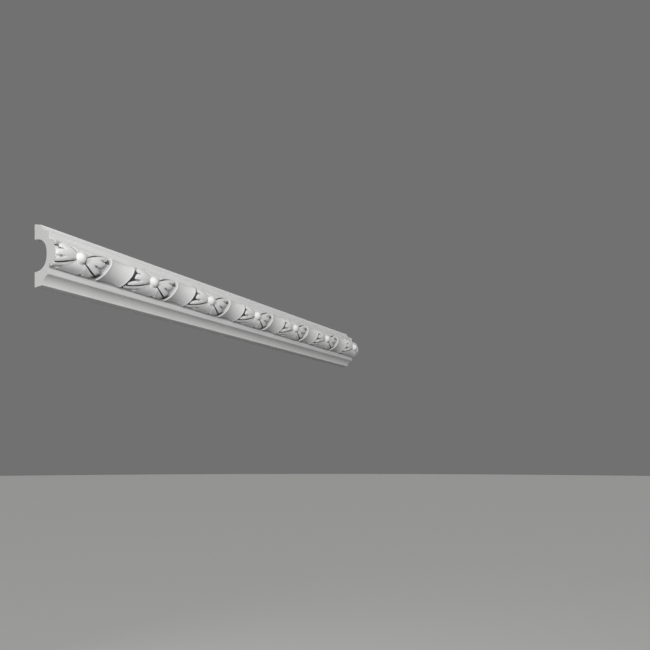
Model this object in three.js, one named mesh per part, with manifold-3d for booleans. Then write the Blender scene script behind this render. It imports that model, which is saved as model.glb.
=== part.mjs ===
// Panel moulding: one straight length of cast foam moulding, made to be fixed flat on a wall.
// Millimetres. X runs along the length, +Z is up, the back lies in the plane y = 0 and the
// front faces -Y. "Depth" is the distance out from the back.
// The section has a shallow cove at the top, a flat band, a half-round roll, a second band
// and a cove below. The roll carries four-leaved flowers in sunk pockets, and between the
// pockets it is a plain waisted collar. Everything on the roll leans to the right going up.
import * as THREE from 'three';
import { mergeVertices } from 'three/addons/utils/BufferGeometryUtils.js';
import Module from 'manifold-3d';

const wasm = await Module();
wasm.setup();

// Driving sizes of the length
const height = 60;
const length = 623;
const pitch = 97;
const flowerCount = 7;
const firstFlower = 28.2;

// Height of the origin above the lowest edge: it lies on the flat strip above the back channel
const originHeight = 53;

// Section, from the top down: depths out from the back and heights above the lowest edge
const noseDepth = 9.4;
const noseHeight = 58.1;
const noseDrop = 0.8;
const upperCoveEnd = 19.5;
const upperCoveFoot = 50.1;
const upperBandDepth = 20.3;
const upperBandTop = 49.5;
const lowerBandTopDepth = 20.7;
const lowerBandTop = 17;
const lowerBandDepth = 19.6;
const lowerBandFoot = 10.3;
const lowerCoveStart = 18.7;
const lowerCoveTop = 9.9;
const lowerLipDepth = 11.1;
const lowerLipTop = 1.9;
const lowerLipFoot = 0.9;
const coveHollow = 1.4;
const coveSteps = 6;

// Channel along the back that keeps the casting light
const channelMiddle = 29.9;
const channelHalf = 15.4;
const channelDepth = 17.2;
const channelRoundness = 2.4;
const channelSteps = 12;

// Roll
const rollDepth = 20.1;
const rollHeight = 29.7;
const groundRadius = 9.6;
const rimRadius = 13.5;
const waistRadius = 12.1;
const rollSteps = 12;
const rollOverlap = 8;
const lean = 0.62;

// Pockets and the collars between them
const pocketHalf = 32.7;
const collarSteps = 6;
const collarFlare = 2.4;
const rollFoot = 1.6;

// Flower: a button, and four leaves of three lobes each. Sizes are laid out flat, before the
// lean, with the arc measured at the leaves' own radius. The middle of the flower lies a little
// above the middle of the roll, and a little to the left of the middle of its pocket.
const flowerRise = 0.8;
const flowerShift = -0.2;
const leafRadius = 12;
const buttonRadius = 5.6;
const buttonCentre = 10.8;
const buttonSides = 12;
const buttonRings = 8;
const creaseAngle = 25.5;
const creaseRootAngle = 37;
const creaseHalf = 1;
const rootReach = 5;
const leafFloor = 6;
const thickLobe = 0.9;
const ringShares = [0, 0.3, 0.6, 0.86, 1];

// One quarter of the flower, from the middle of a leaf that lies along the roll to the middle
// of a leaf that wraps over it. Each ray has its angle, its reach from the flower's middle in
// the quarters above and below the button, its side step from the crease, and the leaf's radius
// at each ring from root to edge.
const quarterRays = [
  { angle: 0, above: 27.6, below: 27.6, step: 0, radii: [11.4, 12.0, 12.4, 12.4, 12.0] },
  { angle: 7, above: 27.2, below: 26.4, step: 0, radii: [11.4, 12.0, 12.3, 12.3, 11.9] },
  { angle: 10.4, above: 25, below: 20.8, step: 0, radii: [11.4, 12.0, 12.2, 12.3, 11.9] },
  { angle: 13.4, above: 28.4, below: 26.4, step: 0, radii: [11.4, 12.0, 12.3, 12.4, 12.0] },
  { angle: 18.6, above: 30.6, below: 30.2, step: 0, radii: [11.4, 12.0, 12.5, 12.7, 12.3] },
  ...[-creaseHalf, 0, creaseHalf].map((step) => ({
    angle: creaseAngle,
    above: 30.4,
    below: 30.2,
    step,
    radii: step === 0 ? [9.9, 9.3, 9.4, 11.0, 11.7] : [11.0, 11.9, 12.5, 12.7, 12.3],
  })),
  { angle: 32, above: 32, below: 32, step: 0, radii: [11.4, 12.1, 12.7, 12.9, 12.5] },
  { angle: 45, above: 26, below: 26, step: 0, radii: [11.4, 12.2, 12.8, 12.9, 12.5] },
  { angle: 50.5, above: 17.8, below: 17.8, step: 0, radii: [11.4, 12.2, 12.6, 12.6, 12.0] },
  { angle: 55, above: 22.6, below: 22.6, step: 0, radii: [11.4, 12.2, 12.8, 12.9, 12.5] },
  { angle: 70, above: 23.4, below: 23.4, step: 0, radii: [11.4, 12.3, 13.0, 13.3, 13.1] },
  { angle: 90, above: 22.4, below: 22.4, step: 0, radii: [11.4, 12.3, 13.1, 13.4, 13.2] },
];

// Slivers that the joins leave along the seams are closed up within this distance
const seamTolerance = 0.03;

const radians = (degrees) => degrees * Math.PI / 180;

const primedWhite = new THREE.MeshStandardMaterial({
  name: 'primed_white',
  color: 0xe9e9e8,
  roughness: 0.62,
  metalness: 0,
});

// A point of the section from its depth and height, in the frame of the finished part
const place = (x, depth, z) => [x, -depth, z - originHeight];

// A point on the roll, from the place along it, the angle above its middle line and the radius.
// The lean moves it along in step with its height.
function onRoll(along, degrees, radius, slant = lean) {
  const up = radius * Math.sin(radians(degrees));
  const out = radius * Math.cos(radians(degrees));
  return place(along + slant * up, rollDepth + out, rollHeight + up);
}

// Turns corner points and triangles into a solid that can be joined and cut
function solidFrom(points, triangles) {
  return new wasm.Manifold(new wasm.Mesh({
    numProp: 3,
    vertProperties: new Float32Array(points.flat()),
    triVerts: new Uint32Array(triangles.flat()),
  }));
}

// Turns a closed three.js geometry into such a solid
function solidFromGeometry(geometry) {
  const bare = geometry.clone();
  bare.deleteAttribute('normal');
  bare.deleteAttribute('uv');
  const merged = mergeVertices(bare, 1e-4);
  return new wasm.Manifold(new wasm.Mesh({
    numProp: 3,
    vertProperties: merged.attributes.position.array,
    triVerts: new Uint32Array(merged.index.array),
  }));
}

// Points of a shallow arc from one section point to another, hollowed by the given amount to
// the left of the way from the first to the second
function hollowArc([d0, z0], [d1, z1], hollow, steps) {
  const chord = Math.hypot(d1 - d0, z1 - z0);
  const radius = (chord * chord / 4 + hollow * hollow) / (2 * hollow);
  const half = Math.asin(chord / 2 / radius);
  const side = [(z1 - z0) / chord, -(d1 - d0) / chord];
  const points = [];
  for (let i = 0; i <= steps; i++) {
    const turn = -half + 2 * half * i / steps;
    const across = radius * Math.cos(turn) - (radius - hollow);
    const share = 0.5 + radius * Math.sin(turn) / chord;
    points.push([d0 + (d1 - d0) * share + side[0] * across,
      z0 + (z1 - z0) * share + side[1] * across]);
  }
  return points;
}

// Outline of the back channel, from its lower mouth round to its upper mouth
function channelOutline() {
  const points = [];
  const power = 2 / channelRoundness;
  for (let i = 0; i <= channelSteps; i++) {
    const turn = -Math.PI / 2 + Math.PI * i / channelSteps;
    const depth = channelDepth * Math.max(Math.cos(turn), 0) ** power;
    const rise = channelHalf * Math.sign(Math.sin(turn)) * Math.abs(Math.sin(turn)) ** power;
    points.push([depth, channelMiddle + rise]);
  }
  return points;
}

// The plain section without the roll's ornament, as depth and height points
function sectionOutline() {
  return [
    [0, height],
    [noseDepth, noseHeight],
    ...hollowArc([noseDepth, noseHeight - noseDrop], [upperCoveEnd, upperCoveFoot],
      coveHollow, coveSteps),
    [upperBandDepth, upperBandTop],
    [upperBandDepth, rollHeight],
    [lowerBandTopDepth, lowerBandTop],
    [lowerBandDepth, lowerBandFoot],
    ...hollowArc([lowerCoveStart, lowerCoveTop], [lowerLipDepth, lowerLipTop],
      coveHollow, coveSteps),
    [lowerLipDepth, lowerLipFoot],
    [0, 0],
    ...channelOutline(),
  ];
}

// Extrudes a section outline along X between two places
function runAlong(outline, from, to) {
  const shape = new THREE.Shape(outline.map(([depth, z]) => new THREE.Vector2(depth, z)));
  const geometry = new THREE.ExtrudeGeometry(shape, { depth: to - from, bevelEnabled: false });
  const frame = new THREE.Matrix4().makeBasis(
    new THREE.Vector3(0, -1, 0),
    new THREE.Vector3(0, 0, 1),
    new THREE.Vector3(-1, 0, 0),
  );
  geometry.applyMatrix4(frame);
  geometry.translate(to, 0, -originHeight);
  return solidFromGeometry(geometry);
}

// The sunk ground of the roll, a plain half round along the whole length
function groundRoll(from, to) {
  const outline = [[rollDepth - rollFoot, rollHeight - groundRadius]];
  for (let i = 0; i <= rollSteps; i++) {
    const turn = radians(-90 + 180 * i / rollSteps);
    outline.push([rollDepth + groundRadius * Math.cos(turn),
      rollHeight + groundRadius * Math.sin(turn)]);
  }
  outline.push([rollDepth - rollFoot, rollHeight + groundRadius]);
  return runAlong(outline, from, to);
}

// One plain collar between two pockets: waisted in the middle and flared to sharp rims
function collar(middle) {
  const half = pitch / 2 - pocketHalf;
  const reach = 90 + rollOverlap;
  const points = [];
  const triangles = [];
  const around = rollSteps + 3;
  for (let j = 0; j <= collarSteps; j++) {
    const share = -1 + 2 * j / collarSteps;
    const radius = waistRadius + (rimRadius - waistRadius) * Math.abs(share) ** collarFlare;
    const along = middle + half * share;
    for (let i = 0; i <= rollSteps; i++) {
      points.push(onRoll(along, -reach + 2 * reach * i / rollSteps, radius));
    }
    const foot = radius * Math.sin(radians(reach));
    points.push(place(along + lean * foot, rollDepth - rollFoot, rollHeight + foot));
    points.push(place(along - lean * foot, rollDepth - rollFoot, rollHeight - foot));
  }
  const at = (j, i) => j * around + i % around;
  for (let j = 0; j < collarSteps; j++) {
    for (let i = 0; i < around; i++) {
      triangles.push([at(j, i), at(j + 1, i + 1), at(j, i + 1)]);
      triangles.push([at(j, i), at(j + 1, i), at(j + 1, i + 1)]);
    }
  }
  for (let i = 1; i < around - 1; i++) {
    triangles.push([at(0, 0), at(0, i), at(0, i + 1)]);
    triangles.push([at(collarSteps, 0), at(collarSteps, i + 1), at(collarSteps, i)]);
  }
  return solidFrom(points, triangles);
}

// All the rays of a flower, anticlockwise, from the quarter's list. The lobes beside the two
// steep creases are a little thicker than the lobes beside the two long ones.
function flowerRays() {
  const inner = quarterRays.slice(1, -1);
  const thicker = (ray) => ({
    ...ray,
    radii: ray.radii.map((radius, ring) => radius + thickLobe * ringShares[ring]
      * Math.sin(radians(2 * Math.min(ray.angle, 90))) ** 2),
  });
  const mirrored = inner.map((ray) => thicker({ ...ray, angle: 180 - ray.angle, step: -ray.step }))
    .reverse();
  const half = [quarterRays[0], ...inner, quarterRays.at(-1), ...mirrored];
  const upper = half.map((ray) => ({ ...ray, reach: ray.above }));
  const lower = half.map((ray) => ({ ...ray, angle: ray.angle + 180, reach: ray.below }));
  return [...upper, ...lower];
}

// Near the button the creases stand steeper than at the leaf tips, and the rays with them
function rootAngle(angle) {
  const turn = ((angle % 360) + 360) % 360;
  const quadrant = Math.floor(turn / 90);
  const local = quadrant % 2 === 0 ? turn - 90 * quadrant : 90 * (quadrant + 1) - turn;
  const steep = local < creaseAngle
    ? local * creaseRootAngle / creaseAngle
    : 90 - (90 - local) * (90 - creaseRootAngle) / (90 - creaseAngle);
  return quadrant % 2 === 0 ? 90 * quadrant + steep : 90 * (quadrant + 1) - steep;
}

// The four leaves of one flower as one closed solid, wrapped round the roll. The leaves lean
// along the roll in step with the way round it.
function leaves(middle) {
  const rays = flowerRays();
  const points = [];
  const triangles = [];
  const wrap = (flat, lift, radius) => {
    const way = lift + flowerRise;
    return onRoll(middle + flowerShift + flat + lean * way, way / radians(1) / leafRadius, radius, 0);
  };
  for (const ray of rays) {
    ringShares.forEach((share, ring) => {
      const reach = rootReach + (ray.reach - rootReach) * share;
      const root = rootAngle(ray.angle);
      const turn = radians(root + (ray.angle - root) * Math.sqrt(share));
      const flat = reach * Math.cos(turn) - ray.step * Math.sin(turn);
      const lift = reach * Math.sin(turn) + ray.step * Math.cos(turn);
      points.push(wrap(flat, lift, ray.radii[ring]));
      if (ring === ringShares.length - 1) {
        points.push(wrap(flat, lift, leafFloor));
      }
    });
  }
  const rings = ringShares.length + 1;
  const at = (ray, ring) => (ray % rays.length) * rings + ring;
  const top = points.push(wrap(0, 0, quarterRays[0].radii[0])) - 1;
  const bottom = points.push(wrap(0, 0, leafFloor)) - 1;
  for (let i = 0; i < rays.length; i++) {
    triangles.push([top, at(i, 0), at(i + 1, 0)]);
    for (let ring = 0; ring < rings - 1; ring++) {
      triangles.push([at(i, ring), at(i, ring + 1), at(i + 1, ring + 1)]);
      triangles.push([at(i, ring), at(i + 1, ring + 1), at(i + 1, ring)]);
    }
    triangles.push([bottom, at(i + 1, rings - 1), at(i, rings - 1)]);
  }
  return solidFrom(points, triangles);
}

// The round button in the middle of a flower
function button(middle) {
  const geometry = new THREE.SphereGeometry(buttonRadius, buttonSides, buttonRings);
  geometry.rotateX(Math.PI / 2);
  geometry.translate(...place(middle + flowerShift, rollDepth + buttonCentre,
    rollHeight + flowerRise));
  return solidFromGeometry(geometry);
}

// The whole length, cut square at both ends
function panelMoulding() {
  const left = -length / 2;
  const start = left - pitch;
  const stop = length / 2 + pitch;
  let whole = runAlong(sectionOutline(), start, stop).add(groundRoll(start, stop));
  for (let k = 0; k < flowerCount; k++) {
    const middle = left + firstFlower + k * pitch;
    whole = whole.add(leaves(middle)).add(button(middle));
  }
  for (let k = 0; k <= flowerCount; k++) {
    whole = whole.add(collar(left + firstFlower + (k - 0.5) * pitch));
  }
  const window = solidFromGeometry(new THREE.BoxGeometry(length, 4 * height, 4 * height));
  const result = whole.intersect(window).simplify(seamTolerance).getMesh();
  const geometry = new THREE.BufferGeometry();
  geometry.setAttribute('position', new THREE.BufferAttribute(result.vertProperties, 3));
  geometry.setIndex(new THREE.BufferAttribute(result.triVerts, 1));
  geometry.computeVertexNormals();
  const mesh = new THREE.Mesh(geometry, primedWhite);
  mesh.name = 'panel_moulding';
  return mesh;
}

const moulding = new THREE.Group();
moulding.add(panelMoulding());

export default moulding;
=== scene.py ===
# Panel moulding: one straight length of cast foam trim with carved flowers, dressed for a picture.
# Blender 4.5. Places are in the part's own frame: X along the length, Z up, the back on y = 0.
import math

import bmesh
import bpy
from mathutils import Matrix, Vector


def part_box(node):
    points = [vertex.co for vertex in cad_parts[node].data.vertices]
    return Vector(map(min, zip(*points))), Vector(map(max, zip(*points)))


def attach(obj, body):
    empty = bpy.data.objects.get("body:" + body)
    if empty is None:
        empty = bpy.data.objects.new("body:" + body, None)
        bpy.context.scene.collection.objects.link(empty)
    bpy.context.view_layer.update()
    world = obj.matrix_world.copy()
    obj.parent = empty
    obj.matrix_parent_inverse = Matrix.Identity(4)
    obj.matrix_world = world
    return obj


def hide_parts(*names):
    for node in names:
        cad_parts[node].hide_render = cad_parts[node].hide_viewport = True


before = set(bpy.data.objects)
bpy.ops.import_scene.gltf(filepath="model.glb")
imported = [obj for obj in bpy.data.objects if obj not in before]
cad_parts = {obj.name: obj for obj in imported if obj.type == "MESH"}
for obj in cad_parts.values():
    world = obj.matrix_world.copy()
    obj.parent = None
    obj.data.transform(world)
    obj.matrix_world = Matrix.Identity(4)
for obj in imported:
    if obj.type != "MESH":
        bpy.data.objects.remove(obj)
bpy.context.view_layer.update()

mouldingLow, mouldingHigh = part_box("panel_moulding")

mm = 0.001
length = (mouldingHigh.x - mouldingLow.x) / mm
height = (mouldingHigh.z - mouldingLow.z) / mm
leftEnd = mouldingLow.x / mm


def place(along, depth, up):  # millimetres along X, out from the back and above the lowest edge
    return Vector((along * mm, -depth * mm, mouldingLow.z + up * mm))


# Camera, where the picture was taken from
cameraStand = {
    "outFromBack": 540.9,
    "leftOfEnd": 399.8,
    "belowEdge": 161.1,
    "turnRight": 60.634,  # degrees from looking straight at the back
    "lens": 35.836,
    "sensor": 36.0,
    "rise": 0.2038,  # share of the frame's width that the frame is shifted up
    "near": 0.01,  # metres, nothing nearer or further is seen
    "far": 100,
}


def setCamera():
    data = bpy.data.cameras.new("camera")
    camera = bpy.data.objects.new("camera", data)
    bpy.context.scene.collection.objects.link(camera)
    data.sensor_width = cameraStand["sensor"]
    data.lens = cameraStand["lens"]
    data.shift_y = cameraStand["rise"]
    data.clip_start = cameraStand["near"]
    data.clip_end = cameraStand["far"]
    left = leftEnd - cameraStand["leftOfEnd"]
    camera.location = place(left, cameraStand["outFromBack"], -cameraStand["belowEdge"])
    camera.rotation_euler = (math.radians(90), 0, -math.radians(cameraStand["turnRight"]))
    bpy.context.scene.camera = camera


# Small helpers for working by hand in edit mode
def deselectAll():
    bpy.ops.object.select_all(action="DESELECT")


def makeActive(piece):
    deselectAll()
    piece.select_set(True)
    bpy.context.view_layer.objects.active = piece


def startEditing():
    bpy.ops.object.mode_set(mode="EDIT")


def stopEditing():
    bpy.ops.object.mode_set(mode="OBJECT")


def extrudeBy(step):
    bpy.ops.mesh.extrude_region_move(TRANSFORM_OT_translate={"value": step})


def faceOutwards(piece):
    makeActive(piece)
    startEditing()
    bpy.ops.mesh.select_all(action="SELECT")
    bpy.ops.mesh.normals_make_consistent(inside=False)
    stopEditing()


def applyPlace(piece):
    makeActive(piece)
    bpy.ops.object.transform_apply(location=True, rotation=True, scale=True)


def combine(piece, other, operation="UNION"):
    join = piece.modifiers.new("combine", "BOOLEAN")
    join.operation = operation
    join.solver = "MANIFOLD"
    join.object = other
    makeActive(piece)
    bpy.ops.object.modifier_apply(modifier=join.name)
    bpy.data.objects.remove(other)


# Section of the casting, as depth and height from the top round to the back
section = {
    "nose": (9.4, 58.1),
    "noseDrop": 0.8,
    "upperCoveEnd": (19.5, 50.1),
    "upperBandTop": (20.3, 49.5),
    "rollLine": (20.3, 29.7),
    "lowerBandTop": (20.7, 17.0),
    "lowerBandFoot": (19.6, 10.3),
    "lowerCoveStart": (18.7, 9.9),
    "lipTop": (11.1, 1.9),
    "lipFoot": (11.1, 0.9),
    "coveHollow": 1.4,
    "coveSteps": 14,
    "channelMiddle": 29.9,
    "channelHalf": 15.4,
    "channelDepth": 17.2,
    "channelRoundness": 2.4,
    "channelSteps": 40,
    "arris": 0.35,  # how far each sharp corner is rounded
    "arrisSteps": 3,
    "sharpCorner": 20,  # degrees
}


def lineTo(reached, target):  # draws one straight edge of the section on from the last point
    extrudeBy(place(0, *target) - place(0, *reached))
    return target


def coveTo(reached, target):  # draws a hollow arc on from the last point
    start = place(0, *reached)
    end = place(0, *target)
    chord = (end - start).length
    hollow = section["coveHollow"] * mm
    radius = (chord * chord / 4 + hollow * hollow) / (2 * hollow)
    outward = (end - start).cross(Vector((1, 0, 0))).normalized()
    centre = (start + end) / 2 + outward * (radius - hollow)
    turn = 2 * math.asin(chord / 2 / radius)
    bpy.ops.mesh.spin(steps=section["coveSteps"], angle=turn, center=centre, axis=(1, 0, 0))
    return target


def channelPoint(turn):
    power = 2 / section["channelRoundness"]
    depth = section["channelDepth"] * max(math.cos(turn), 0) ** power
    rise = section["channelHalf"] * math.copysign(abs(math.sin(turn)) ** power, turn)
    return depth, section["channelMiddle"] + rise


def roundCorners(piece):
    shape = bmesh.from_edit_mesh(piece.data)
    bpy.ops.mesh.select_all(action="DESELECT")
    for corner in shape.verts:
        first, second = (edge.other_vert(corner).co - corner.co for edge in corner.link_edges)
        bend = 180 - math.degrees(first.angle(second))
        corner.select_set(bend > section["sharpCorner"])
    bmesh.update_edit_mesh(piece.data)
    bpy.ops.mesh.bevel(offset=section["arris"] * mm, segments=section["arrisSteps"],
                       affect="VERTICES")


def makeBody():
    deselectAll()
    top = (0, height)
    bpy.ops.mesh.primitive_plane_add(size=mm, location=place(0, *top))
    body = bpy.context.object
    startEditing()
    bpy.ops.mesh.merge(type="CENTER")
    nose = section["nose"]
    reached = lineTo(top, nose)
    reached = lineTo(reached, (nose[0], nose[1] - section["noseDrop"]))
    reached = coveTo(reached, section["upperCoveEnd"])
    for name in ("upperBandTop", "rollLine", "lowerBandTop", "lowerBandFoot", "lowerCoveStart"):
        reached = lineTo(reached, section[name])
    reached = coveTo(reached, section["lipTop"])
    reached = lineTo(reached, section["lipFoot"])
    reached = lineTo(reached, (0, 0))
    for step in range(section["channelSteps"] + 1):
        turn = -math.pi / 2 + math.pi * step / section["channelSteps"]
        reached = lineTo(reached, channelPoint(turn))
    bpy.ops.mesh.select_all(action="SELECT")
    bpy.ops.mesh.edge_face_add()
    roundCorners(body)
    bpy.ops.mesh.select_all(action="SELECT")
    extrudeBy((length * mm, 0, 0))
    bpy.ops.mesh.select_all(action="SELECT")
    bpy.ops.transform.translate(value=(leftEnd * mm, 0, 0))
    stopEditing()
    applyPlace(body)
    faceOutwards(body)
    return body


# Roll: waisted collars with sunk pockets between them, all leaning to the right going up
roll = {
    "depth": 20.1,
    "up": 29.7,
    "foot": 1.6,
    "sides": 96,
    "lean": 0.62,  # along for each step up
    "pitch": 97.0,
    "firstFlower": 28.2,  # from the left end to the first flower's middle
    "flowers": 7,
    "leadIn": 1.5,  # pitches from where the rail starts, at a collar's middle, to the first flower
    "spare": 2,  # pitches more than there are flowers, cut off again with the ends
    "weld": 0.01,
    "pocketHalf": 32.7,
    "waist": 11.8,
    "rim": 13.5,
    "flare": 2.0,
    "flareSteps": 10,
    "rimRounding": [(0.8, 0.02), (0.45, 0.12), (0.18, 0.34), (0.0, 0.7)],  # back and down
    "ground": 9.6,
    "pocketFoot": [(0.15, 0.9), (0.4, 0.3), (0.9, 0.0)],  # into the pocket, above the ground
}


def rollProfile():  # distance from a collar's middle and radius, round to the next collar's middle
    half = roll["pitch"] / 2 - roll["pocketHalf"]
    rise = roll["rim"] - roll["waist"]
    rounding = roll["rimRounding"]
    flared = half - 2 * rounding[0][0]  # the flare stops short of the rim's rounding
    points = []
    for step in range(roll["flareSteps"] + 1):
        along = flared * step / roll["flareSteps"]
        points.append((along, roll["waist"] + rise * (along / half) ** roll["flare"]))
    points += [(half - back, roll["rim"] - down) for back, down in rounding]
    points += [(half + into, roll["ground"] + above) for into, above in roll["pocketFoot"]]
    return points + [(roll["pitch"] - along, radius) for along, radius in reversed(points)]


def makeRail():
    deselectAll()
    profile = rollProfile()
    start = leftEnd + roll["firstFlower"] - roll["leadIn"] * roll["pitch"]
    bpy.ops.mesh.primitive_circle_add(vertices=roll["sides"], radius=profile[0][1] * mm,
                                      location=place(start, roll["depth"], roll["up"]),
                                      rotation=(0, math.radians(90), 0))
    rail = bpy.context.object
    startEditing()
    pivot = Vector(rail.location)
    for (before, was), (along, radius) in zip(profile, profile[1:]):
        extrudeBy(((along - before) * mm, 0, 0))
        bpy.ops.transform.resize(value=(1, radius / was, radius / was), center_override=pivot)
    stopEditing()
    applyPlace(rail)
    repeat = rail.modifiers.new("repeat", "ARRAY")
    repeat.count = roll["flowers"] + roll["spare"]
    repeat.use_relative_offset = False
    repeat.use_constant_offset = True
    repeat.constant_offset_displace = (roll["pitch"] * mm, 0, 0)
    repeat.use_merge_vertices = True
    repeat.merge_threshold = roll["weld"] * mm
    makeActive(rail)
    bpy.ops.object.modifier_apply(modifier=repeat.name)
    middle = place(0, 0, roll["up"]).z
    for corner in rail.data.vertices:
        corner.co.x += roll["lean"] * (corner.co.z - middle)
    startEditing()
    bpy.ops.mesh.select_all(action="SELECT")
    bpy.ops.mesh.fill_holes(sides=0)
    bpy.ops.mesh.select_all(action="SELECT")
    bpy.ops.mesh.bisect(plane_co=place(0, roll["depth"] - roll["foot"], 0), plane_no=(0, 1, 0),
                        use_fill=True, clear_outer=True)
    stopEditing()
    faceOutwards(rail)
    return rail


# Flower, laid out flat round its button before it is wrapped on the roll and leaned. A quarter
# runs from the middle of the leaf along the roll to the middle of the leaf over it. Each row has
# an angle, the leaf's reach there above and below the button, its radius on the roll at each
# share, and the number of rays to the next row.
flower = {
    "rootReach": 5.0,
    "flatRadius": 12.0,
    "floor": 6.0,
    "shares": [0, 0.3, 0.6, 0.86, 1],
    "quarter": [
        (0, 27.6, 27.6, [11.2, 12.5, 12.8, 12.5, 11.9], 6),
        (7.0, 27.2, 26.4, [11.2, 12.4, 12.7, 12.4, 11.8], 8),
        (10.4, 25.0, 20.8, [11.2, 12.4, 12.6, 12.4, 11.8], 8),
        (13.4, 28.4, 26.4, [11.2, 12.4, 12.7, 12.5, 11.9], 6),
        (18.6, 30.6, 30.2, [11.2, 12.4, 12.8, 12.8, 12.3], 4),
        (25.5, 30.4, 30.2, [11.2, 12.4, 12.8, 12.9, 12.4], 4),
        (32, 32.0, 32.0, [11.2, 12.5, 12.9, 13.0, 12.5], 8),
        (42, 27.6, 27.6, [11.2, 12.6, 13.0, 13.0, 12.5], 8),
        (46.5, 24.6, 24.6, [11.2, 12.6, 13.0, 12.9, 12.4], 6),
        (50.5, 17.8, 17.8, [11.3, 12.6, 12.9, 12.8, 12.2], 6),
        (54.5, 22.4, 22.4, [11.3, 12.7, 13.0, 13.0, 12.5], 6),
        (62, 23.6, 23.6, [11.4, 12.8, 13.1, 13.2, 12.9], 14),
        (90, 22.4, 22.4, [11.5, 13.0, 13.3, 13.4, 13.2], 0),
    ],
    "thickLobe": 0.9,
    "notches": [(10.4, 1.3), (50.5, 2.4)],  # cuts between lobes: angle and half width, degrees
    "notchStart": 0.76,  # share of the reach where a notch begins
    "notchDepth": 1.0,
    "notchShade": 0.26,  # painted shade at a notch, as a share of the painted shade of a deep crease
    "rings": [0, 0.05, 0.11, 0.18, 0.26, 0.35, 0.44, 0.53, 0.62, 0.71, 0.79, 0.87, 0.94, 1],
    "shoulder": [(1.1, 0.0), (0.6, 0.14), (0.25, 0.42), (0.0, 1.0)],  # in from the edge, down
    "drawnIn": 3,  # power of the share by which the rings close up to the shoulder
    "socket": (1.2, 0.7),  # depth of the dip round the button, and how fast it rises
    "upright": (30.0, 60.0),  # rays turn upright, level with the roll's section, between these
    "uprightPull": 4.5,
    "rise": 0.8,  # the flower's middle lies this far up round the roll
    "shift": -0.2,  # and this far along from the middle of its pocket
    "lookAhead": 0.01,  # share either way along a ray that tells which way it runs
}
# Deep crease between two leaves, cut along a ray
crease = {
    "angle": 25.5,
    "clear": (21.5, 30.0),  # no other ray runs between these angles
    "offsets": [-0.85, -0.76, -0.6, -0.32, 0, 0.32, 0.6, 0.76, 0.85],
    "depths": [(0, 1.2), (0.08, 2.8), (0.2, 3.8), (0.76, 3.9), (0.9, 2.6), (1, 1.4)],
    "roundness": 0.6,  # power of the profile across: 0.5 is a half ellipse, 1 a parabola
    "rootAngle": 37.0,  # it stands steeper near the button
    "widths": [1.35, 1.0, 1.6, 0.75],  # of the four creases, anticlockwise from the upper right
    "rootWidth": 0.5,  # share of its full width at the root
    "fullWidthAt": 0.3,
}
button = {"radius": 5.6, "centre": 10.8, "rise": 0.8, "segments": 40, "rings": 24}


def smoothCurve(xs, ys):  # a curve through the points with no overshoot between them
    slopes = [(y1 - y0) / (x1 - x0) for x0, x1, y0, y1 in zip(xs, xs[1:], ys, ys[1:])]
    tangents = [0.0]
    for before, after in zip(slopes, slopes[1:]):
        same = before * after > 0
        tangents.append(2 * before * after / (before + after) if same else 0.0)
    tangents.append(0.0)

    def at(x):
        i = max(k for k in range(len(slopes)) if k == 0 or xs[k] <= x)
        width = xs[i + 1] - xs[i]
        t = min(max((x - xs[i]) / width, 0), 1)
        rise = ys[i + 1] - ys[i]
        bend = (1 - t) * tangents[i] - t * tangents[i + 1]
        ease = (1 - 2 * t) * rise / width
        return ys[i] + rise * t + t * (1 - t) * width * (bend - ease)

    return at


quarterAngles = [row[0] for row in flower["quarter"]]
reachAbove = smoothCurve(quarterAngles, [row[1] for row in flower["quarter"]])
reachBelow = smoothCurve(quarterAngles, [row[2] for row in flower["quarter"]])
radiusAt = [smoothCurve(quarterAngles, [row[3][k] for row in flower["quarter"]])
            for k in range(len(flower["shares"]))]
creaseDepthAt = smoothCurve(*zip(*crease["depths"]))


def quarterRays():  # angle and sideways offset of every ray in a quarter
    rays = []
    low, high = crease["clear"]
    for row, following in zip(flower["quarter"], flower["quarter"][1:]):
        for step in range(row[4]):
            angle = row[0] + (following[0] - row[0]) * step / row[4]
            if angle <= low or angle >= high:
                rays.append((angle, 0.0))
    before = [ray for ray in rays if ray[0] <= low]
    after = [ray for ray in rays if ray[0] >= high]
    return before + [(crease["angle"], offset) for offset in crease["offsets"]] + after


def allRays():  # the quarter and its mirror images, as quarter, angle and offset, anticlockwise
    quarter = quarterRays()
    rays = []
    for turn in range(4):
        if turn % 2 == 0:
            rays += [(turn, angle, offset) for angle, offset in quarter]
        else:
            rays.append((turn, 90.0, 0.0))
            rays += [(turn, angle, offset) for angle, offset in reversed(quarter[1:])]
    return rays


def reachAt(turn, angle):
    return reachAbove(angle) if turn < 2 else reachBelow(angle)


def rootAngle(angle):
    middle, root = crease["angle"], crease["rootAngle"]
    if angle < middle:
        return angle * root / middle
    return 90 - (90 - angle) * (90 - root) / (90 - middle)


def towards(degrees, distance):
    return distance * Vector((math.cos(math.radians(degrees)), math.sin(math.radians(degrees))))


def rayCourse(turn, angle, share):  # where a ray is at a share of its reach, in the first quarter
    root = rootAngle(angle)
    reach = reachAt(turn, angle)
    heading = root + (angle - root) * math.sqrt(max(share, 0))
    straight = towards(heading, flower["rootReach"] + (reach - flower["rootReach"]) * share)
    first = towards(root, flower["rootReach"])
    last = towards(angle, reach)
    pulled = 1 - max(1 - share, 0) ** flower["uprightPull"]
    upright = Vector((first.x + (last.x - first.x) * pulled,
                      first.y + (last.y - first.y) * share))
    low, high = flower["upright"]
    turned = min(max((angle - low) / (high - low), 0), 1)
    eased = turned * turned * (3 - 2 * turned)
    return straight.lerp(upright, eased)


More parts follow.
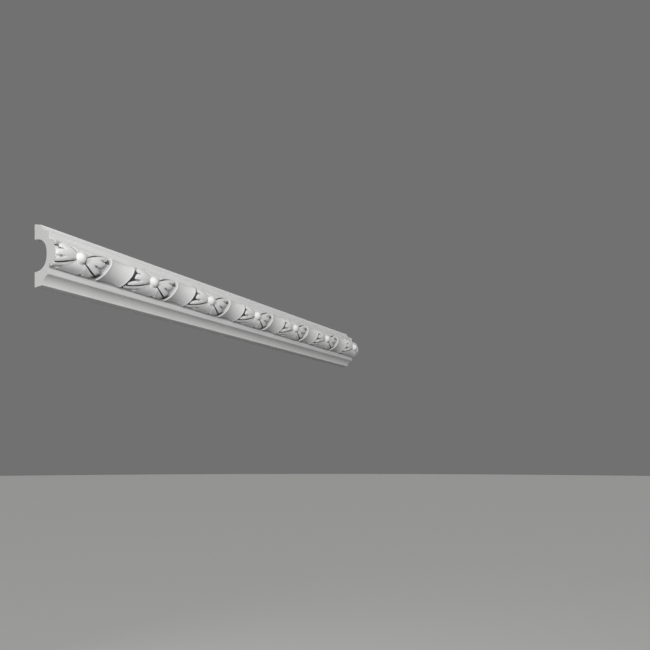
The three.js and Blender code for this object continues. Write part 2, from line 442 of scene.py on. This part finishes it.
def flatPoint(ray, share):
    turn, angle, offset = ray
    point = rayCourse(turn, angle, share)
    if offset:
        step = flower["lookAhead"]
        ahead = rayCourse(turn, angle, share + step) - rayCourse(turn, angle, share - step)
        widening = min(max(share, 0) / crease["fullWidthAt"], 1)
        side = offset * crease["widths"][turn]
        side *= crease["rootWidth"] + (1 - crease["rootWidth"]) * widening
        point += Vector((-ahead.y, ahead.x)).normalized() * side
    if turn in (1, 2):
        point.x = -point.x
    if turn in (2, 3):
        point.y = -point.y
    return point


def creaseProfile(ray):  # 1 along the bottom of a crease, 0 at its edges and elsewhere
    if ray[1] != crease["angle"]:
        return 0.0
    across = ray[2] / crease["offsets"][-1]
    return (1 - across * across) ** crease["roundness"]


def notchProfile(ray, share):  # 1 at the outer end of a notch, 0 at its sides and elsewhere
    across = min(abs(ray[1] - angle) / half for angle, half in flower["notches"])
    along = (share - flower["notchStart"]) / (1 - flower["notchStart"])
    return max(along, 0) * max(1 - across * across, 0)


def leafRadius(ray, share):
    turn, angle = ray[:2]
    radius = smoothCurve(flower["shares"], [curve(angle) for curve in radiusAt])(share)
    if turn % 2:
        radius += flower["thickLobe"] * share * math.sin(math.radians(2 * angle)) ** 2
    radius -= creaseDepthAt(share) * creaseProfile(ray)
    radius -= flower["notchDepth"] * notchProfile(ray, share)
    dip, rise = flower["socket"]
    run = (reachAt(turn, angle) - flower["rootReach"]) * share
    return radius - dip * math.exp(-run / rise)


def insetOutline(rays):  # the outline's inward direction at each ray
    edge = [flatPoint(ray, 1) for ray in rays]
    inward = []
    for i in range(len(edge)):
        run = edge[(i + 1) % len(edge)] - edge[i - 1]
        inward.append(Vector((-run.y, run.x)).normalized())
    return inward


def onRoll(flat, radius):  # wraps a flat point round the roll, leaned by its way round
    way = flat.y + flower["rise"]
    turn = way / flower["flatRadius"]
    along = flower["shift"] + flat.x + roll["lean"] * way
    return place(along, roll["depth"] + radius * math.cos(turn),
                 roll["up"] + radius * math.sin(turn))


def flowerCorner(rays, inward, ray, ring, low):
    inner = len(flower["rings"])
    around = rays[ray]
    deepest = flower["shoulder"][0][0]
    if low:
        return onRoll(flatPoint(around, 1), flower["floor"])
    if ring < inner:
        share = flower["rings"][ring]
        drawn = inward[ray] * deepest * share ** flower["drawnIn"]
        flat = flatPoint(around, share) + drawn
        return onRoll(flat, leafRadius(around, share))
    back, down = flower["shoulder"][ring - inner + 1]
    return onRoll(flatPoint(around, 1) + inward[ray] * back, leafRadius(around, 1) - down)


def makeFlower():  # a fan with one ring for each millimetre, then each corner goes to its place
    deselectAll()
    rays = allRays()
    ringCount = len(flower["rings"]) + len(flower["shoulder"]) - 1
    bpy.ops.mesh.primitive_circle_add(vertices=len(rays), radius=mm, fill_type="TRIFAN")
    leaves = bpy.context.object
    startEditing()
    shape = bmesh.from_edit_mesh(leaves.data)
    bpy.ops.mesh.select_mode(type="EDGE")
    bpy.ops.mesh.select_all(action="DESELECT")
    for edge in shape.edges:
        edge.select_set(edge.is_boundary)
    bmesh.update_edit_mesh(leaves.data)
    for ring in range(1, ringCount):
        bpy.ops.mesh.extrude_edges_move()
        bpy.ops.transform.resize(value=[(ring + 1) / ring] * 3)
    bpy.ops.mesh.extrude_edges_move(TRANSFORM_OT_translate={"value": (0, 0, -mm)})
    bpy.ops.mesh.extrude_edges_move()
    bpy.ops.mesh.merge(type="CENTER")
    stopEditing()
    inward = insetOutline(rays)
    # the crease attribute carries painted shade: full along the bottom of each crease, a share of
    # it at the outer ends of the notches
    shades = leaves.data.attributes.new("crease", "FLOAT", "POINT").data
    for corner in leaves.data.vertices:
        flat = corner.co.xy / mm
        low = corner.co.z < -mm / 2
        ring = round(flat.length)
        if ring == 0:
            centre = flower["floor"] if low else leafRadius(rays[0], 0)
            corner.co = onRoll(Vector((0, 0)), centre)
        else:
            ray = round(math.atan2(flat.y, flat.x) / math.tau * len(rays)) % len(rays)
            corner.co = flowerCorner(rays, inward, ray, ring - 1, low)
            share = flower["rings"][min(ring, len(flower["rings"])) - 1]
            notch = flower["notchShade"] * notchProfile(rays[ray], share)
            shades[corner.index].value = max(creaseProfile(rays[ray]), notch)
    faceOutwards(leaves)
    return leaves


def makeButton():
    deselectAll()
    middle = place(flower["shift"], roll["depth"] + button["centre"],
                   roll["up"] + button["rise"])
    bpy.ops.mesh.primitive_uv_sphere_add(segments=button["segments"], ring_count=button["rings"],
                                         radius=button["radius"] * mm, location=middle,
                                         rotation=(math.radians(90), 0, 0))
    bead = bpy.context.object
    applyPlace(bead)
    return bead


def repeatAlong(piece):  # copies with meshes of their own, one on each flower's place
    pieces = []
    for k in range(roll["flowers"]):
        copied = piece.copy()
        copied.data = piece.data.copy()
        bpy.context.scene.collection.objects.link(copied)
        copied.location.x = (leftEnd + roll["firstFlower"] + k * roll["pitch"]) * mm
        pieces.append(copied)
    bpy.data.objects.remove(piece)
    deselectAll()
    for copied in pieces:
        copied.select_set(True)
    bpy.context.view_layer.objects.active = pieces[0]
    bpy.ops.object.join()
    applyPlace(pieces[0])
    return pieces[0]


def squareEnds(piece):
    deselectAll()
    roomy = 4 * height * mm  # well past the section on every side
    bpy.ops.mesh.primitive_cube_add(size=1, location=place(leftEnd + length / 2, 0, height / 2),
                                    scale=(length * mm, roomy, roomy))
    combine(piece, bpy.context.object, "INTERSECT")


# Finishes. Every pattern reads Object coordinates, so it stays where it is on the casting.
grainMix = {
    "fine": 0.4,  # parts of the height
    "wave": 1.6,
    "detail": 2.0,
    "fineRoughness": 0.6,
    "waveSize": 14.0,  # grains across
    "patchSize": 60.0,
    "patch": (0.35, 0.65),  # noise where a patch starts and where it is full
}
finish = {
    "white": (0.80, 0.80, 0.795, 1),
    "patchWhite": (0.775, 0.775, 0.77, 1),
    # painted shade: the colour laid deep in the carving, in the creases, on the pockets' walls and
    # corners and in the crevice at the roll's foot
    "paintedShadeTone": (0.10, 0.10, 0.10, 1),
    "roughness": (0.58, 0.68),
    "specular": 0.3,
    "grainSize": 0.45,  # mm across
    "grainHeight": 0.02,
    "smoothAngle": 32,
}
# The sawn end's grey tones are painted shade: darker than the primer, they make the whole end face
# look shaded, and the pits hold more of it
sawn = {
    "foam": (0.56, 0.56, 0.555, 1),
    "paintedPitShade": (0.48, 0.48, 0.475, 1),
    "roughness": (0.75, 0.92),
    "cellSize": 0.5,
    "pit": (0.1, 0.45),  # in cells from a cell's middle: deep up to here, and level from there
    "pitShade": 0.55,  # painted shade in a pit, as a share of the pit's tone
    "cellHeight": 0.03,
    "sawMarkPitch": 1.6,
    "sawMarkSlant": 0.15,
    "sawMarkHeight": 0.25,  # share of a cell's height
}
bareBack = {
    "skin": (0.62, 0.62, 0.61, 1),
    "flow": (0.55, 0.55, 0.54, 1),
    "roughness": (0.55, 0.7),
    "grainSize": 1.4,
    "grainHeight": 0.05,
}
# Painted shade in the primer's colour, where shade falls: deep in the carving, along the creases,
# on the pockets' walls, in their corners and in the crevice at the roll's foot, most of all below
# the roll
recess = {
    "dark": 8.5,  # distance from the roll's axis where the painted shade is full
    "clear": 10.7,
    "frontFade": 1.5,  # the painted shade of the pockets comes in over this depth behind the roll's axis
    "crease": (0.0, 0.45),  # shares of a crease's depth where its painted shade starts and is full
    "creviceDepth": 20.9,  # foot of the roll, where it meets the bands and painted shade lies in the crevice
    "creviceReach": (3.0, 0.9),  # below the roll and above it
    "creviceBlend": 1.0,  # from one reach to the other, either side of the roll's middle line
    "creviceRadius": (13.6, 14.4),
    "creviceStrength": 0.55,
    "wall": (31.0, 32.4, 33.2, 34.0),  # a pocket's wall, from its middle: painted shade comes and goes
    "wallTop": (11.8, 13.3),  # between these radii the wall's painted shade changes
    "wallShade": (0.4, 0.1),
    "outside": (13.6, 13.9),  # no painted shade on the walls beyond the rims
    "corner": (20.0, 25.0),  # the ends of a pocket, where painted shade darkens its corners and its left end
    "cornerAbove": (2.5, 4.5),  # from the roll's middle line
    "cornerBelow": (-8.5, -5.0),
    "leftEnd": (-22.0, -15.0),  # from the pocket's middle
    "cornerRadius": (10.4, 11.4),
    "paleEnd": (3.0, 6.0),  # from the left end, where the first pocket is open and pale, without painted shade
    "paleBelow": (6.0, 7.4),  # but not above this
}
# How the faces are told apart for their finishes
faceKinds = {
    "square": 0.999,  # how nearly a sawn face looks along X
    "endGap": 0.01,
    "backGap": 0.1,
    "turnedBack": -0.2,  # least turn towards the wall of a face in the channel
    "channelGap": 0.5,
}


def newGroup(name, inputs, outputs):
    group = bpy.data.node_groups.new(name, "ShaderNodeTree")
    for label, kind in inputs:
        group.interface.new_socket(label, in_out="INPUT", socket_type=kind)
    for label, kind in outputs:
        group.interface.new_socket(label, in_out="OUTPUT", socket_type=kind)
    return group, group.nodes.new("NodeGroupInput"), group.nodes.new("NodeGroupOutput")


def feed(tree, socket, source):  # a link where the source is a socket, a value otherwise
    if isinstance(source, bpy.types.NodeSocket):
        tree.links.new(source, socket)
    else:
        socket.default_value = source


def mathNode(tree, operation, *sources):
    node = tree.nodes.new("ShaderNodeMath")
    node.operation = operation
    for socket, source in zip(node.inputs, sources):
        feed(tree, socket, source)
    return node.outputs[0]


def product(tree, first, *others):
    for other in others:
        first = mathNode(tree, "MULTIPLY", first, other)
    return first


def largest(tree, first, *others):
    for other in others:
        first = mathNode(tree, "MAXIMUM", first, other)
    return first


def rangeNode(tree, value, fromMin, fromMax, toMin=0.0, toMax=1.0, kind="SMOOTHSTEP"):
    node = tree.nodes.new("ShaderNodeMapRange")
    node.interpolation_type = kind
    for label, source in (("Value", value), ("From Min", fromMin), ("From Max", fromMax),
                          ("To Min", toMin), ("To Max", toMax)):
        feed(tree, node.inputs[label], source)
    return node.outputs["Result"]


def fadeOut(tree, value, start, end):  # 1 up to the start and 0 from the end on
    return rangeNode(tree, value, start, end, 1.0, 0.0)


def splitPlace(tree, where):
    parts = tree.nodes.new("ShaderNodeSeparateXYZ")
    tree.links.new(where, parts.inputs[0])
    return parts.outputs


def mixColour(tree, factor, first, second):
    node = tree.nodes.new("ShaderNodeMix")
    node.data_type = "RGBA"
    colours = [socket for socket in node.inputs if socket.type == "RGBA"]
    feed(tree, node.inputs[0], factor)
    feed(tree, colours[0], first)
    feed(tree, colours[1], second)
    return next(socket for socket in node.outputs if socket.type == "RGBA")


def noiseNode(tree, where, scale, detail=3.0, roughness=0.5):
    node = tree.nodes.new("ShaderNodeTexNoise")
    feed(tree, node.inputs["Vector"], where)
    feed(tree, node.inputs["Scale"], scale)
    node.inputs["Detail"].default_value = detail
    node.inputs["Roughness"].default_value = roughness
    return node.outputs["Fac"]


def grainGroup():  # fine unevenness of a cast or sprayed surface, and broad soft patches
    group, given, made = newGroup(
        "surfaceGrain",
        [("Place", "NodeSocketVector"), ("Grain Size", "NodeSocketFloat")],
        [("Height", "NodeSocketFloat"), ("Patch", "NodeSocketFloat")])
    where = given.outputs["Place"]
    perGrain = mathNode(group, "DIVIDE", 1 / mm, given.outputs["Grain Size"])
    perWave = mathNode(group, "DIVIDE", perGrain, grainMix["waveSize"])
    perPatch = mathNode(group, "DIVIDE", perGrain, grainMix["patchSize"])
    fine = noiseNode(group, where, perGrain, grainMix["detail"], grainMix["fineRoughness"])
    wave = noiseNode(group, where, perWave, grainMix["detail"])
    relief = mathNode(group, "ADD", product(group, fine, grainMix["fine"]),
                      product(group, wave, grainMix["wave"]))
    patch = rangeNode(group, noiseNode(group, where, perPatch), *grainMix["patch"])
    group.links.new(relief, made.inputs["Height"])
    group.links.new(patch, made.inputs["Patch"])
    return group


def placeOnRoll(group, where):  # millimetres, with the place along read from a flower's middle
    axis = place(0, roll["depth"], roll["up"])
    parts = splitPlace(group, where)
    out = mathNode(group, "DIVIDE", mathNode(group, "SUBTRACT", axis.y, parts["Y"]), mm)
    up = mathNode(group, "DIVIDE", mathNode(group, "SUBTRACT", parts["Z"], axis.z), mm)
    squares = mathNode(group, "ADD", product(group, out, out), product(group, up, up))
    radius = mathNode(group, "SQRT", squares)
    depth = mathNode(group, "ADD", out, roll["depth"])
    fromEnd = mathNode(group, "SUBTRACT", mathNode(group, "DIVIDE", parts["X"], mm), leftEnd)
    leaned = mathNode(group, "SUBTRACT", fromEnd, product(group, up, roll["lean"]))
    fromFirst = mathNode(group, "SUBTRACT", leaned, roll["firstFlower"])
    along = mathNode(group, "WRAP", fromFirst, roll["pitch"] / 2, -roll["pitch"] / 2)
    return depth, up, radius, fromEnd, along


def recessGroup():  # painted shade: 1 deep in the carving and in the crevice at the roll's foot, 0 elsewhere
    group, given, made = newGroup(
        "recessShade",
        [("Place", "NodeSocketVector"), ("Dark Radius", "NodeSocketFloat"),
         ("Clear Radius", "NodeSocketFloat"), ("Crevice", "NodeSocketFloat"),
         ("Crease", "NodeSocketFloat")],
        [("Shade", "NodeSocketFloat")])
    depth, up, radius, fromEnd, along = placeOnRoll(group, given.outputs["Place"])
    fromMiddle = mathNode(group, "ABSOLUTE", along)
    inFront = rangeNode(group, depth, roll["depth"] - recess["frontFade"], roll["depth"])

    deep = fadeOut(group, radius, given.outputs["Dark Radius"], given.outputs["Clear Radius"])
    carved = product(group, deep, inFront)

    above = rangeNode(group, up, *recess["cornerAbove"])
    below = fadeOut(group, up, *recess["cornerBelow"])
    left = fadeOut(group, along, *recess["leftEnd"])
    corner = product(group, rangeNode(group, fromMiddle, *recess["corner"]),
                     largest(group, above, below, left),
                     fadeOut(group, radius, *recess["cornerRadius"]), inFront)

    pastEnd = rangeNode(group, fromEnd, *recess["paleEnd"])
    high = rangeNode(group, up, *recess["paleBelow"])
    ground = product(group, largest(group, carved, corner), largest(group, pastEnd, high))

    wall = product(group, rangeNode(group, fromMiddle, *recess["wall"][:2]),
                   fadeOut(group, fromMiddle, *recess["wall"][2:]),
                   rangeNode(group, radius, *recess["wallTop"], *recess["wallShade"]),
                   fadeOut(group, radius, *recess["outside"]), inFront)

    blend = recess["creviceBlend"]
    reach = rangeNode(group, up, -blend, blend, *recess["creviceReach"])
    fromFoot = mathNode(group, "SUBTRACT", depth, recess["creviceDepth"])
    crevice = product(group, fadeOut(group, mathNode(group, "ABSOLUTE", fromFoot), 0.0, reach),
                      fadeOut(group, radius, *recess["creviceRadius"]), given.outputs["Crevice"])

    # painted shade along the creases and at the notches
    cut = rangeNode(group, given.outputs["Crease"], *recess["crease"])
    group.links.new(largest(group, ground, wall, crevice, cut), made.inputs["Shade"])
    return group


def startMaterial(name):
    material = bpy.data.materials.new(name)
    material.use_nodes = True
    tree = material.node_tree
    where = tree.nodes.new("ShaderNodeTexCoord").outputs["Object"]
    return material, tree, tree.nodes["Principled BSDF"], where


def useGroup(tree, group, **values):
    node = tree.nodes.new("ShaderNodeGroup")
    node.node_tree = group
    for label, source in values.items():
        feed(tree, node.inputs[label.replace("_", " ")], source)
    return node


def paintFace(tree, shader, tone, patch, roughness):  # the roughness runs from patch to patch
    gloss = rangeNode(tree, patch, 0.0, 1.0, *roughness, "LINEAR")
    tree.links.new(tone, shader.inputs["Base Color"])
    tree.links.new(gloss, shader.inputs["Roughness"])


def raiseBy(tree, shader, relief, distance):
    bump = tree.nodes.new("ShaderNodeBump")
    bump.inputs["Strength"].default_value = 1.0
    bump.inputs["Distance"].default_value = distance * mm
    tree.links.new(relief, bump.inputs["Height"])
    tree.links.new(bump.outputs["Normal"], shader.inputs["Normal"])


def primerWithPaintedShade(grain, shade):  # sprayed primer, with painted shade deep in the carving
    material, tree, shader, where = startMaterial("primerWithPaintedShade")
    skin = useGroup(tree, grain, Place=where, Grain_Size=finish["grainSize"])
    cut = tree.nodes.new("ShaderNodeAttribute")
    cut.attribute_name = "crease"
    deep = useGroup(tree, shade, Place=where, Dark_Radius=recess["dark"],
                    Clear_Radius=recess["clear"], Crevice=recess["creviceStrength"],
                    Crease=cut.outputs["Fac"])
    paint = mixColour(tree, skin.outputs["Patch"], finish["white"], finish["patchWhite"])
    # painted shade laid over the primer's colour
    paint = mixColour(tree, deep.outputs["Shade"], paint, finish["paintedShadeTone"])
    paintFace(tree, shader, paint, skin.outputs["Patch"], finish["roughness"])
    shader.inputs["Specular IOR Level"].default_value = finish["specular"]
    raiseBy(tree, shader, skin.outputs["Height"], finish["grainHeight"])
    return material


def sawnFoam(grain):  # square-cut end: open foam cells, faint marks of the saw, and painted shade that greys the whole face
    material, tree, shader, where = startMaterial("sawnFoam")
    skin = useGroup(tree, grain, Place=where, Grain_Size=sawn["cellSize"])
    cells = tree.nodes.new("ShaderNodeTexVoronoi")
    tree.links.new(where, cells.inputs["Vector"])
    cells.inputs["Scale"].default_value = 1 / (sawn["cellSize"] * mm)
    pits = fadeOut(tree, cells.outputs["Distance"], *sawn["pit"])
    face = mixColour(tree, product(tree, pits, sawn["pitShade"]), sawn["foam"], sawn["paintedPitShade"])
    paintFace(tree, shader, face, skin.outputs["Patch"], sawn["roughness"])
    parts = splitPlace(tree, where)
    across = mathNode(tree, "ADD", parts["Y"], product(tree, parts["Z"], sawn["sawMarkSlant"]))
    turn = product(tree, across, math.tau / (sawn["sawMarkPitch"] * mm))
    marks = product(tree, mathNode(tree, "SINE", turn),
                    product(tree, skin.outputs["Height"], sawn["sawMarkHeight"]))
    raiseBy(tree, shader, mathNode(tree, "SUBTRACT", marks, pits), sawn["cellHeight"])
    return material


def bareFoamBack(grain):  # back and channel: mould skin without primer
    material, tree, shader, where = startMaterial("bareFoamBack")
    skin = useGroup(tree, grain, Place=where, Grain_Size=bareBack["grainSize"])
    face = mixColour(tree, skin.outputs["Patch"], bareBack["skin"], bareBack["flow"])
    paintFace(tree, shader, face, skin.outputs["Patch"], bareBack["roughness"])
    raiseBy(tree, shader, skin.outputs["Height"], bareBack["grainHeight"])
    return material


def dressFaces(piece):  # sawn ends, bare back and channel, and primer on all that shows
    grain = grainGroup()
    for material in (primerWithPaintedShade(grain, recessGroup()), sawnFoam(grain), bareFoamBack(grain)):
        piece.data.materials.append(material)
    channelReach = section["channelHalf"] + faceKinds["channelGap"]
    channelDeep = section["channelDepth"] + faceKinds["backGap"]
    for face in piece.data.polygons:
        fromEnd = abs(abs(face.center.x) / mm - length / 2)
        depth = -face.center.y / mm
        up = (face.center.z - mouldingLow.z) / mm
        atEnd = abs(face.normal.x) > faceKinds["square"] and fromEnd < faceKinds["endGap"]
        inChannel = (depth < channelDeep and face.normal.y > faceKinds["turnedBack"]
                     and abs(up - section["channelMiddle"]) < channelReach)
        if atEnd:
            face.material_index = 1
        elif depth < faceKinds["backGap"] or inChannel:
            face.material_index = 2


def makeMoulding():
    whole = makeBody()
    print("body traced and extruded")
    combine(whole, makeRail())
    print("roll turned and joined")
    combine(whole, repeatAlong(makeFlower()))
    print("flowers wrapped and joined")
    combine(whole, repeatAlong(makeButton()))
    squareEnds(whole)
    print("ends cut square")
    makeActive(whole)
    bpy.ops.object.shade_smooth_by_angle(angle=math.radians(finish["smoothAngle"]))
    whole.name = "carvedMoulding"
    whole.data.materials.clear()
    dressFaces(whole)
    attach(whole, "root")
    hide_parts("panel_moulding")
    return whole


stage = {
    "floorDrop": 1200.0,  # below the lowest edge
    "floorRadius": 40.0,  # metres
    "floorSides": 96,
    "floorRoughness": 0.9,
    "floorTone": (0.8, 0.8, 0.79, 1),
    "background": (0.165, 0.165, 0.165, 1),
    "bounce": (0.07, 0.07, 0.07, 1),  # what the surroundings throw on the moulding
    "aimPart": 3,  # the lamps aim at a third of the length from the left end
}
# Lamps, by degrees left of straight in front and degrees up, and metres away
lights = {
    "key": {"left": 68, "up": -8, "away": 2.4, "size": 0.8, "watts": 33},
    "fill": {"left": 38, "up": 16, "away": 1.8, "size": 0.8, "watts": 13.9},
    "top": {"left": 15, "up": 80, "away": 3, "spread": 60, "strength": 1.0},
    "side": {"left": -33, "up": -12, "away": 3, "spread": 25, "strength": 0.85},
    "rear": {"left": 180, "up": 4, "away": 2.4, "size": 0.8, "watts": 20},
}


def makeStage():
    deselectAll()
    bpy.ops.mesh.primitive_circle_add(vertices=stage["floorSides"], radius=stage["floorRadius"],
                                      fill_type="NGON", location=place(0, 0, -stage["floorDrop"]))
    floor = bpy.context.object
    floor.name = "floor"
    floor.visible_diffuse = False
    material = bpy.data.materials.new("paleFloor")
    material.use_nodes = True
    shader = material.node_tree.nodes["Principled BSDF"]
    shader.inputs["Base Color"].default_value = stage["floorTone"]
    shader.inputs["Roughness"].default_value = stage["floorRoughness"]
    floor.data.materials.append(material)
    world = bpy.data.worlds.new("studio")
    world.use_nodes = True
    tree = world.node_tree
    seen = tree.nodes.new("ShaderNodeLightPath").outputs["Is Camera Ray"]
    tone = mixColour(tree, seen, stage["bounce"], stage["background"])
    tree.links.new(tone, tree.nodes["Background"].inputs["Color"])
    bpy.context.scene.world = world


def makeLights():
    target = place(leftEnd + length / stage["aimPart"], roll["depth"], roll["up"])
    for name, spec in lights.items():
        left, up = math.radians(spec["left"]), math.radians(spec["up"])
        if "watts" in spec:
            data = bpy.data.lights.new(name, "AREA")
            data.size = spec["size"]
            data.energy = spec["watts"]
        else:
            data = bpy.data.lights.new(name, "SUN")
            data.angle = math.radians(spec["spread"])
            data.energy = spec["strength"]
        lamp = bpy.data.objects.new(name, data)
        bpy.context.scene.collection.objects.link(lamp)
        back = Vector((-math.sin(left) * math.cos(up), -math.cos(left) * math.cos(up),
                       math.sin(up)))
        lamp.location = target + spec["away"] * back
        lamp.rotation_euler = back.to_track_quat("Z", "Y").to_euler()
        lamp.visible_camera = False


setCamera()
makeStage()
makeLights()
moulding = makeMoulding()
bpy.context.scene.view_settings.view_transform = "Standard"
print("moulding has", len(moulding.data.polygons), "faces")
